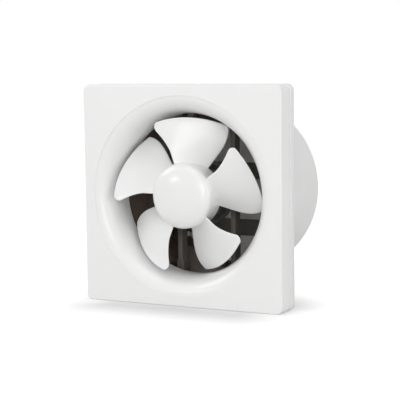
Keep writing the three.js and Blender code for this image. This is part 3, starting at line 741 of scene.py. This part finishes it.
# ---- motor ----
SHIELD = 2.0
BEARING = 9.0
BEARING_LENGTH = 6.4
POCKET = BEARING + GAP
CUP_DEPTH = 23.0
REAR_CUP_DEPTH = 20.0
CUP_TO_SCREW = 1.4
CUP_TO_BAR = 1.5
FLANGE_THICK = 2.4
EAR = 6.0  # radius of the flange's ears
DISC_LAP = 0.5  # how far the flange's disc reaches past the screws' centres
CHAMFER = 0.4
NOSE_WALL = 2.0
NECK_BELOW, NECK_ABOVE = 4.0, 2.0  # a bar widens between these, before and past BAR_END
NECK_ROUNDING = 3.0
SCREW_BITE = 11.0  # how far a motor screw goes into its bar
HEAD_HEIGHT = 2.0
SHANK_SINK = 0.5  # of a screw's shank into its head
CROSS = 0.42  # half the width of a screw's cross recess
CROSS_LEVEL = 2.1  # of the recess's middle above the head's seat
CROSS_REACH = 2.0
SOCKET = 0.95  # the grub screw's socket
SOCKET_DEPTH = 1.6
ROTOR = 22.0
COIL_BORE = 25.0
CUP_FRONT = NOSE_START + BEARING_LENGTH + SHIELD
FLANGE_FRONT = CUP_FRONT + CUP_DEPTH
REAR_START = FLANGE_FRONT + FLANGE_THICK + GAP
CUP_REAR = BAR_FRONT + REAR_CUP_DEPTH
EAR_REACH = math.hypot(BAR_X, EAR_Z)
FRONT_CUP = EAR_REACH - SCREW_HEAD - CUP_TO_SCREW
REAR_CUP = BAR_X - BAR_WIDTH / 2 - CUP_TO_BAR
EAR_PLACES = [(x, z) for x in (-BAR_X, BAR_X) for z in (-EAR_Z, EAR_Z)]


def eared(disc, ear):
    """The outline of a disc with four round ears at the screw places."""
    def reach(angle):
        best = disc
        for x, z in EAR_PLACES:
            off = angle - math.atan2(z, x)
            across = EAR_REACH * math.sin(off)
            if abs(across) < ear and math.cos(off) > 0:
                best = max(best, EAR_REACH * math.cos(off) + math.sqrt(ear ** 2 - across ** 2))
        return best
    return reach


def flange_rings(front):
    """Rings of the eared flange, which is chamfered round both its faces."""
    rear = front + FLANGE_THICK
    stretch = [(CHAMFER, front), (0, front + CHAMFER), (0, rear - CHAMFER), (CHAMFER, rear)]
    return [(eared(EAR_REACH + DISC_LAP - inset, EAR - inset), y) for inset, y in stretch]


def shield(name, before, flange_front, after, node):
    """A motor shield: its section before the flange, the flange, and the section after it."""
    outlines = circles(fillet(before, closed=False)) + flange_rings(flange_front)
    outlines += circles(fillet(after, closed=False))
    piece = rings(name, outlines, even_angles(FLANGE_SIDES))
    front = FLANGE_FRONT - 2 * OVERRUN
    tools = [rod("hole", SCREW_HOLE, (x, front, z), (x, BAR_FRONT, z), sides=32)
             for x, z in EAR_PLACES]
    finish_piece(even_normals(cut(piece, tools)), "black_enamel", "housing", node)


def motor_shields():
    bore = SHAFT_RADIUS + 2 * GAP
    nose = POCKET + NOSE_WALL
    end = FLANGE_FRONT + FLANGE_THICK
    inner = FRONT_CUP - SHIELD
    shield("motor_shield_front", [
        (bore, NOSE_START + SHIELD), (bore, NOSE_START, 0.4), (nose, NOSE_START, 1.5),
        (nose, CUP_FRONT, 1.5), (FRONT_CUP, CUP_FRONT, 4.0), (FRONT_CUP, FLANGE_FRONT, 1.0),
        (FRONT_CUP + EDGE_RING, FLANGE_FRONT),
    ], FLANGE_FRONT, [
        (FRONT_CUP, end), (inner, end, 0.5), (inner, CUP_FRONT + SHIELD, 2.0),
        (POCKET, CUP_FRONT + SHIELD, 0.6), (POCKET, NOSE_START + SHIELD, 0.3),
    ], "motor_front_shield")
    end = REAR_START + FLANGE_THICK
    pocket_end = SHAFT_END + GAP
    inner = REAR_CUP - SHIELD
    shield("motor_shield_rear", [
        (0, pocket_end), (POCKET, pocket_end, 0.3), (POCKET, CUP_REAR - SHIELD, 0.6),
        (inner, CUP_REAR - SHIELD, 2.0), (inner, REAR_START, 0.5), (REAR_CUP, REAR_START),
    ], REAR_START, [
        (REAR_CUP + EDGE_RING, end), (REAR_CUP, end, 1.0), (REAR_CUP, CUP_REAR, 4.0),
        (nose, CUP_REAR, 1.5), (nose, REAR_NOSE_END, 1.5), (0, REAR_NOSE_END),
    ], "motor_rear_shield")


def motor_bar(side, node):
    x = side * BAR_X
    outer = SLEEVE_INNER - GAP
    half = BAR_WIDTH / 2
    turns = [(half, BAR_END - NECK_BELOW), (FOOT_WIDTH / 2, BAR_END + NECK_ABOVE)]
    steps = 12
    across = [x + FOOT_WIDTH / 2 - k * FOOT_WIDTH / steps for k in range(steps + 1)]
    ends = [(end_x, half_chord(outer, end_x)) for end_x in across]
    right, left = [[(x + way * dx, z, NECK_ROUNDING) for dx, z in turns] for way in (1, -1)]
    right = fillet([(x + half, 0)] + right + [ends[0]], closed=False)[1:-1]
    left = fillet([ends[-1]] + left[::-1] + [(x - half, 0)], closed=False)[1:-1]
    top = right + ends + left
    outline = top + [(px, -pz) for px, pz in top[::-1]]
    bar = even_normals(soften(prism(node + "_moulding", outline, BAR_FRONT, BAR_REAR), 0.7))
    front, blind_end = BAR_FRONT - OVERRUN, BAR_FRONT + SCREW_BITE + OVERRUN
    tools = [rod("hole", SCREW_HOLE, (x, front, z), (x, blind_end, z), sides=32)
             for z in (-EAR_Z, EAR_Z)]
    for way in (-1, 1):
        seat = way * FOOT_SEAT
        start = (x, FOOT_SCREW_Y, way * (BAR_END - SEAT_DEPTH))
        tools.append(rod("hole", SCREW_HEAD + GAP, start, (x, FOOT_SCREW_Y, seat), sides=40))
        end = (x, FOOT_SCREW_Y, way * (outer + 2 * OVERRUN))
        tools.append(rod("hole", SCREW_HOLE, (x, FOOT_SCREW_Y, seat - way), end, sides=32))
    finish_piece(even_normals(cut(bar, tools)), "black_plastic", "housing", node)


def screw(name, under, tip, node):
    """A pan head screw with a cross recess; under is where its head bears."""
    under, tip = Vector(under), Vector(tip)
    way = (under - tip).normalized()
    head = rod(name, SCREW_HEAD, under, under + way * HEAD_HEIGHT, edge=0.9, sides=40)
    shank = rod("shank", SCREW, tip, under + way * SHANK_SINK, edge=0.5, sides=32)
    join(head, [shank])
    side = way.orthogonal().normalized()
    level = under + way * CROSS_LEVEL
    for across in (side, way.cross(side)):
        reach = across * CROSS_REACH
        cut(head, [rod("slot", CROSS, level - reach, level + reach, edge=0.2, sides=12)])
    finish_piece(head, "zinc_steel", "housing", node)


def corner_name(x, z):
    return ("upper" if z > 0 else "lower") + ("_right" if x > 0 else "_left")


def screws():
    for x, z in EAR_PLACES:
        place = corner_name(x, z)
        under, tip = FLANGE_FRONT - GAP, BAR_FRONT + SCREW_BITE
        screw("motor_pan_screw_" + place, (x, under, z), (x, tip, z), "motor_screw_" + place)
    for x in (-BAR_X, BAR_X):
        for way in (-1, 1):
            place = corner_name(x, way)
            low, high = node_box("bar_screw_" + place)
            tip = high[2] if way > 0 else low[2]
            under = way * (FOOT_SEAT - GAP)
            screw("foot_pan_screw_" + place, (x, FOOT_SCREW_Y, under), (x, FOOT_SCREW_Y, tip),
                  "bar_screw_" + place)


def inner_motor():
    """The turned pieces inside the motor and the hub."""
    def span(node):
        low, high = node_box(node)
        return high[0], low[1], high[1]

    bore = SHAFT_RADIUS + GAP
    radius, start, end = span("motor_shaft")
    shaft = rod("shaft_bar", radius, (0, start, 0), (0, end, 0), edge=0.8, sides=64)
    finish_piece(shaft, "steel", "impeller", "motor_shaft")
    for node in ("front_bearing", "rear_bearing"):
        radius, start, end = span(node)
        bearing = tube(node + "_bush", radius, bore, start, end, edge=0.6, sides=96)
        finish_piece(bearing, "bronze", "housing", node)
    radius, start, end = span("stator_core")
    stator = tube("stator_stack", radius, ROTOR + GAP, start, end, edge=0.2)
    finish_piece(stator, "lamination_steel", "housing", "stator_core")
    radius, start, end = span("rotor_core")
    rotor = tube("rotor_stack", radius, bore, start, end)
    finish_piece(rotor, "lamination_steel", "impeller", "rotor_core")
    for node in ("front_winding", "rear_winding"):
        radius, start, end = span(node)
        coil = tube(node + "_coil", radius, COIL_BORE, start, end, edge=2.6)
        finish_piece(coil, "copper_wire", "housing", node)
    radius, start, end = span("hub_bush")
    bush = tube("hub_insert", radius, bore, start, end, sides=96)
    hole = rod("hole", SCREW_HOLE, (0, GRUB_Y, 0), (0, GRUB_Y, BUSH + OVERRUN), sides=32)
    finish_piece(cut(bush, [hole]), "brass", "impeller", "hub_bush")
    low, high = node_box("grub_screw")
    y, top = (low[1] + high[1]) / 2, high[2]
    grub = rod("grub_set_screw", SCREW, (0, y, low[2]), (0, y, top), edge=0.3, sides=32)
    socket = rod("socket", SOCKET, (0, y, top - SOCKET_DEPTH), (0, y, top + OVERRUN), sides=6)
    finish_piece(cut(grub, [socket]), "steel", "impeller", "grub_screw")


# ---- shutter ----
HINGE_DROP = 4.0
EAR_WIDTH = 4.0
SHUTTER_EAR = 3.0
BARREL = 2.8
ROD = 1.3
BARREL_CLEARANCE = 2.5
FLAP_LAP = 4.0
FLAP_SHEET = 1.8
RIB = 1.2
RIB_DROP = 18.0
RIB_SHARE = 0.86  # of the hinge barrel's length
SHOULDER_DROP = 2.0  # of the flap's shoulders below its window's top
EAR_ROOT = 1.0  # how deep in the plate an ear starts
WINDOWS = [("top", TOP_RAIL, RAIL_TOPS[0]),
           ("middle", RAIL_TOPS[0] - RAIL_HEIGHT, RAIL_TOPS[1]),
           ("bottom", RAIL_TOPS[1] - RAIL_HEIGHT, -WINDOW)]


def barrel_half(high):
    """Half the length of a flap's hinge barrel, which its ears and the duct leave."""
    hinge = high + HINGE_DROP
    wall = half_chord(DUCT_INNER - BARREL_CLEARANCE, abs(hinge) + SHUTTER_EAR)
    return wall - EAR_WIDTH - 2 * GAP


def segment(radius, low, high, steps=40):
    """A disc's outline between two levels, anticlockwise from lower right."""
    a0 = math.asin(max(-1.0, low / radius))
    a1 = math.asin(min(1.0, high / radius))
    right = arc(radius, a0, a1, steps)
    left = arc(radius, math.pi - a1, math.pi - a0, steps)
    return right + left


def shutter_frame():
    start = SLEEVE_END + GAP
    profile = [(0, PLATE_FRONT), (SLEEVE_INNER, PLATE_FRONT, 0.6), (SLEEVE_INNER, start, 0.4),
               (SLEEVE_OUTER, start, 0.4), (SLEEVE_OUTER, PLATE_REAR, 0.8), (0, PLATE_REAR)]
    plate = turned("shutter_moulding", profile, HUB_SIDES, closed=False)
    front, rear = PLATE_FRONT - OVERRUN, PLATE_REAR + OVERRUN
    cut(plate, [prism("window", segment(WINDOW, low, high), front, rear)
                for _, high, low in WINDOWS])
    soften(plate, 0.5, segments=2, angle=60)
    ears = []
    for _, high, _ in WINDOWS:
        z = high + HINGE_DROP
        for side in (-1, 1):
            near = side * (barrel_half(high) + GAP)
            far = side * (barrel_half(high) + GAP + EAR_WIDTH)
            x0, x1 = sorted((near, far))
            ear = block("ear", (x0, PLATE_FRONT + EAR_ROOT, z - SHUTTER_EAR),
                        (x1, HINGE_Y + SHUTTER_EAR, z + SHUTTER_EAR), edge=0.6, segments=2)
            start, end = (x0 - OVERRUN, HINGE_Y, z), (x1 + OVERRUN, HINGE_Y, z)
            ears.append(cut(ear, [rod("hole", ROD + GAP, start, end, sides=24)]))
    finish_piece(even_normals(join(plate, ears)), "black_plastic", "housing", "shutter_frame")


def level_rod(name, radius, half, y, z, edge=0.0, sides=32):
    """A rod across the fan, half its length to each side."""
    return rod(name, radius, (-half, y, z), (half, y, z), edge, sides)


def flap(name, high, low):
    """The flap that closes the window between two levels, and its hinge rod."""
    y0 = PLATE_REAR + GAP
    z = high + HINGE_DROP
    half = barrel_half(high)
    radius = WINDOW + FLAP_LAP
    shoulder = high - SHOULDER_DROP
    bottom = max(low - FLAP_LAP, -radius)
    neck = min(half, half_chord(radius, shoulder))
    outline = segment(radius, bottom, shoulder)
    middle = len(outline) // 2
    hinge = [(neck, shoulder), (half, z), (-half, z), (-neck, shoulder)]
    outline = outline[:middle] + hinge + outline[middle:]
    sheet = prism(f"flap_sheet_{name}", outline, y0, y0 + FLAP_SHEET)
    soften(sheet, 0.45, segments=2)
    barrel = level_rod("barrel", BARREL, half, HINGE_Y, z, edge=0.5, sides=40)
    rib = level_rod("rib", RIB, half * RIB_SHARE, y0 + FLAP_SHEET, z - RIB_DROP, 0.8, 24)
    join(sheet, [barrel, rib])
    bore = level_rod("bore", ROD + GAP, half + OVERRUN, HINGE_Y, z)
    finish_piece(even_normals(cut(sheet, [bore])), "flap_grey", "flap_" + name, "flap_" + name)
    pin = level_rod("hinge_pin_" + name, ROD, half + GAP + EAR_WIDTH, HINGE_Y, z, edge=0.4)
    finish_piece(pin, "steel", "housing", "flap_rod_" + name)


# ---- terminal box, capacitor, lead ----
LEAD_RADIUS = 2.2
LEAD_BORE = LEAD_RADIUS + 2 * GAP
LEAD_INSET = 8.0  # of the lead's hole from the box's top and rear
LEAD_EXIT = 28.0
CLIP_Z = -72.0
CLIP_WALL = 1.4
BOX_WALL = 2.0
GROMMET_FLANGE = 1.7
WAY = 1.8
WAY_PITCH = 7.0
WAY_DEPTH = 7.0


def hollow_box(name, low, high, wall, edge=0.8):
    """An open-fronted box with rounded edges."""
    outer = block(name, low, high, edge)
    inner_low = (low[0] + wall, low[1] - 2 * OVERRUN, low[2] + wall)
    inner_high = (high[0] - wall, high[1] - wall, high[2] - wall)
    return cut(outer, [block("inside", inner_low, inner_high, 0)])


def terminal_pieces():
    low, high = node_box("terminal_box")
    lead_z = high[2] - LEAD_INSET
    lead_y = high[1] - LEAD_INSET
    shell = hollow_box("terminal_housing", low, high, BOX_WALL)
    x0, x1 = high[0] - BOX_WALL - OVERRUN, high[0] + OVERRUN
    y0, y1 = high[1] - BOX_WALL - OVERRUN, high[1] + OVERRUN
    tools = [rod("hole", GROMMET_NECK + GAP, (INLET_X, y0, INLET_Z), (INLET_X, y1, INLET_Z)),
             rod("hole", LEAD_RADIUS + GAP, (x0, lead_y, lead_z), (x1, lead_y, lead_z), sides=32)]
    finish_piece(even_normals(cut(shell, tools)), "black_plastic", "housing", "terminal_box")
    lid = block("terminal_cover", *node_box("terminal_box_lid"), edge=0.7)
    finish_piece(lid, "black_plastic", "housing", "terminal_box_lid")
    capacitor = block("capacitor_can", *node_box("run_capacitor"), edge=1.2, segments=4)
    finish_piece(capacitor, "capacitor_case", "housing", "run_capacitor")

    low, high = node_box("terminal_block")
    connector = block("connector_strip", low, high)
    middle = (low[0] + high[0]) / 2
    z = (low[2] + high[2]) / 2
    start, end = low[1] - OVERRUN, low[1] + WAY_DEPTH
    ways = [rod("way", WAY, (x, start, z), (x, end, z), sides=32)
            for x in (middle - WAY_PITCH, middle, middle + WAY_PITCH)]
    finish_piece(even_normals(cut(connector, ways)), "ivory_plastic", "housing", "terminal_block")

    low, high = node_box("cable_grommet")
    seat = low[1] + GROMMET_FLANGE
    grommet = turned("inlet_grommet", [
        (GROMMET_BORE, low[1], 0.6), (GROMMET, low[1], 0.7), (GROMMET, seat, 0.5),
        (GROMMET_NECK, seat), (GROMMET_NECK, high[1], 0.4), (GROMMET_BORE, high[1], 0.4),
    ], sides=64)
    grommet.data.transform(Matrix.Translation((INLET_X * MM, 0, INLET_Z * MM)))
    finish_piece(grommet, "rubber", "housing", "cable_grommet")


def lead_route():
    """The lead's way from the motor, behind the left bar, along the sleeve and to its box."""
    _, box_high = node_box("terminal_box")
    lead_y = box_high[1] - LEAD_INSET
    lead_z = box_high[2] - LEAD_INSET
    x = -BAR_X - FOOT_WIDTH / 2 - LEAD_RADIUS - 3 * GAP
    behind = BAR_REAR + GAP + CLIP_WALL + LEAD_BORE
    low = -half_chord((THROAT + SHELL + SLEEVE_INNER) / 2, x)
    route = [
        (-LEAD_EXIT, CUP_REAR + GAP, -LEAD_EXIT / 2), (-LEAD_EXIT, CUP_REAR + 4, -LEAD_EXIT / 2),
        (-LEAD_EXIT - 5, CUP_REAR + 8, -LEAD_EXIT / 2 - 5), (-BAR_X, behind + 1, -LEAD_EXIT - 8),
        (-BAR_X, behind, CLIP_Z + 14), (-BAR_X, behind, CLIP_Z + 4), (-BAR_X, behind, CLIP_Z - 4),
        (-BAR_X, behind, CLIP_Z - 14), (-BAR_X - 7, behind + 1, low + 17), (x, behind - 2, low + 5),
        (x, behind - 12, low), (x, BAR_FRONT - 10, low), (x, 10, low), (x, 0, low),
        (x, lead_y + 5, low), (x - 6, lead_y, low - 6), (x - 24, lead_y, low - 9),
        (box_high[0] + 12, lead_y, lead_z), (box_high[0] - 6, lead_y, lead_z),
    ]
    return [Vector(p) for p in route]


def between(a, b, start, end, u):
    """The point for u on the line that passes a at start and b at end."""
    return a * (end - u) / (end - start) + b * (u - start) / (end - start)


def centripetal(points, steps=8):
    """Points along a centripetal Catmull-Rom curve through the given ones."""
    ends = [2 * points[0] - points[1]] + points + [2 * points[-1] - points[-2]]
    curve = []
    for i in range(1, len(ends) - 2):
        p = ends[i - 1:i + 3]
        t = [0.0]
        for a, b in zip(p, p[1:]):
            t.append(t[-1] + math.sqrt((b - a).length))
        for k in range(steps):
            u = t[1] + (t[2] - t[1]) * k / steps
            first, middle, last = [between(p[j], p[j + 1], t[j], t[j + 1], u) for j in range(3)]
            first = between(first, middle, t[0], t[2], u)
            last = between(middle, last, t[1], t[3], u)
            curve.append(between(first, last, t[1], t[2], u))
    curve.append(points[-1])
    return curve


def lead_pieces():
    curve = bpy.data.curves.new("lead_cable", "CURVE")
    curve.dimensions = "3D"
    curve.bevel_depth = LEAD_RADIUS * MM
    curve.bevel_resolution = 5
    curve.use_fill_caps = True
    points = centripetal(lead_route())
    spline = curve.splines.new("POLY")
    spline.points.add(len(points) - 1)
    for spot, point in zip(spline.points, points):
        spot.co = (*(point * MM), 1)
    drawn = placed("lead_cable", curve)
    mesh = evaluated(drawn)
    bpy.data.objects.remove(drawn)
    tidy(mesh)
    finish_piece(placed("lead_cable", mesh), "rubber", "housing", "motor_lead")

    low, high = node_box("lead_clip")
    clip = block("lead_clamp", low, high, edge=0.6)
    y = high[1] - CLIP_WALL - LEAD_BORE
    start, end = (-BAR_X, y, low[2] - OVERRUN), (-BAR_X, y, high[2] + OVERRUN)
    hole = rod("hole", LEAD_BORE, start, end)
    finish_piece(even_normals(cut(clip, [hole])), "ivory_plastic", "housing", "lead_clip")


# ---- floor, light and camera ----
def ray_white(tree):
    """1 for rays that see the backdrop: from the camera, in a gloss or through a clear body."""
    path = add_node(tree, "ShaderNodeLightPath")
    total = path.outputs["Is Camera Ray"]
    for name in ("Is Glossy Ray", "Is Transmission Ray"):
        total = add_node(tree, "ShaderNodeMath", {0: total, 1: path.outputs[name]},
                         operation="ADD", use_clamp=True).outputs[0]
    return total


AMBIENT = 0.535  # the world's light on the object, where 1 is white
FLOOR_COLOR = 0.72
FLOOR_REACH = 6000.0
# The floor's own white as the camera sees it. It is FOOT_SHADOW_LIFT in an oblong at the object's
# foot and rises over LIFT_REACH to FAR_LIFT, so that the floor is white away from the object and
# greyer
# at its foot: a painted shadow there, on top of the rendered one.
# LIFT_CENTRE is the y of the oblong's middle, and LIFT_HALVES are half its width and its depth.
FOOT_SHADOW_LIFT, FAR_LIFT = 0.08, 0.62
LIFT_REACH = 120.0
LIFT_CENTRE = -33.0
LIFT_HALVES = (110.0, 43.0)


def backdrop():
    """White to look at and in reflections, and a plain soft light on the object."""
    world = bpy.data.worlds.new("studio")
    bpy.context.scene.world = world
    world.use_nodes = True
    tree = world.node_tree
    strength = add_node(tree, "ShaderNodeMapRange", {
        "Value": ray_white(tree), "To Min": AMBIENT, "To Max": 1.0})
    background = tree.nodes["Background"]
    background.inputs["Color"].default_value = (1, 1, 1, 1)
    tree.links.new(strength.outputs[0], background.inputs["Strength"])


def distance_from_foot(s):
    """How far a place on the floor lies outside the oblong at the object's foot."""
    place = s.place
    any_height = 10
    halves = (LIFT_HALVES[0] * MM, LIFT_HALVES[1] * MM, any_height)
    for operation, vector in (("SUBTRACT", (0, LIFT_CENTRE * MM, 0)), ("ABSOLUTE", None),
                              ("SUBTRACT", halves), ("MAXIMUM", (0, 0, 0)), ("LENGTH", None)):
        inputs = {0: place, 1: vector} if vector else {0: place}
        step = s.node("ShaderNodeVectorMath", inputs, operation=operation)
        place = step.outputs["Value" if operation == "LENGTH" else "Vector"]
    return place


def floor():
    s = Shader("pale_floor", 0.9, Specular_IOR_Level=0.1, Base_Color=(FLOOR_COLOR,) * 3 + (1,),
               Emission_Color=(1, 1, 1, 1))
    # the glow is low in the oblong at the foot, which paints a shadow there
    rise = s.node("ShaderNodeMapRange", {
        "Value": distance_from_foot(s), "From Max": LIFT_REACH * MM,
        "To Min": FOOT_SHADOW_LIFT, "To Max": FAR_LIFT})
    lift = s.node("ShaderNodeMath", {0: ray_white(s.tree), 1: rise.outputs[0]},
                  operation="MULTIPLY")
    s.tree.links.new(lift.outputs[0], s.shader.inputs["Emission Strength"])
    reach = FLOOR_REACH
    sheet = make("floor", [(-reach, -reach, FLOOR), (reach, -reach, FLOOR),
                           (reach, reach, FLOOR), (-reach, reach, FLOOR)], [(0, 1, 2, 3)])
    sheet.data.materials.append(s.material)


def lamp(name, place, size, power):
    """A soft lamp at a place in metres, turned to the origin."""
    light = bpy.data.lights.new(name, "AREA")
    light.shape = "RECTANGLE"
    light.size, light.size_y = size
    light.energy = power
    obj = placed(name, light)
    obj.visible_camera = False
    turn = (-Vector(place)).to_track_quat("-Z", "Y").to_matrix().to_4x4()
    obj.matrix_world = Matrix.Translation(place) @ turn


# Each lamp's place and size in metres, and its power in watts.
LAMPS = [
    ("front", (1.05, -2.1, 0.45), (1.0, 1.0), 12.0),
    ("top", (0.1, -1.2, 2.2), (1.2, 1.2), 7.0),
    ("key", (-1.16, -1.84, 0.44), (0.2, 0.2), 2.3),
    ("upper_left", (-1.8, -0.75, 1.3), (0.9, 0.9), 9.0),
    ("right", (2.2, -0.6, 0.3), (0.6, 1.2), 7.5),
]


CAMERA_PLACE = (0.997366, -1.854495, 0.208848)
CAMERA_YAW = 28.019
CAMERA_PITCH = -5.93
CAMERA_ROLL = 0.626
CAMERA_LENS = 122.81
CAMERA_SENSOR = 36.0
CAMERA_REACH = 100.0


def camera():
    data = bpy.data.cameras.new("camera")
    data.sensor_fit = "HORIZONTAL"
    data.sensor_width = CAMERA_SENSOR
    data.lens = CAMERA_LENS
    data.clip_end = CAMERA_REACH
    obj = placed("camera", data)
    turn = Matrix.Rotation(math.radians(CAMERA_YAW), 3, "Z")
    turn = turn @ Matrix.Rotation(math.radians(CAMERA_PITCH), 3, "X")
    turn = turn @ Matrix.Rotation(math.radians(CAMERA_ROLL), 3, "Y")
    upright = turn @ Matrix.Rotation(math.pi / 2, 3, "X")  # a Blender camera looks along -Z
    obj.matrix_world = Matrix.Translation(CAMERA_PLACE) @ upright.to_4x4()
    bpy.context.scene.camera = obj


bpy.context.scene.view_settings.view_transform = "Standard"
camera()
backdrop()
floor()
for lamp_row in LAMPS:
    lamp(*lamp_row)
front_cover()
wall_frame()
duct()
sleeve()
impeller()
motor_shields()
motor_bar(-1, "motor_bar_left")
motor_bar(1, "motor_bar_right")
screws()
inner_motor()
shutter_frame()
for window_name, window_high, window_low in WINDOWS:
    flap(window_name, window_high, window_low)
terminal_pieces()
lead_pieces()
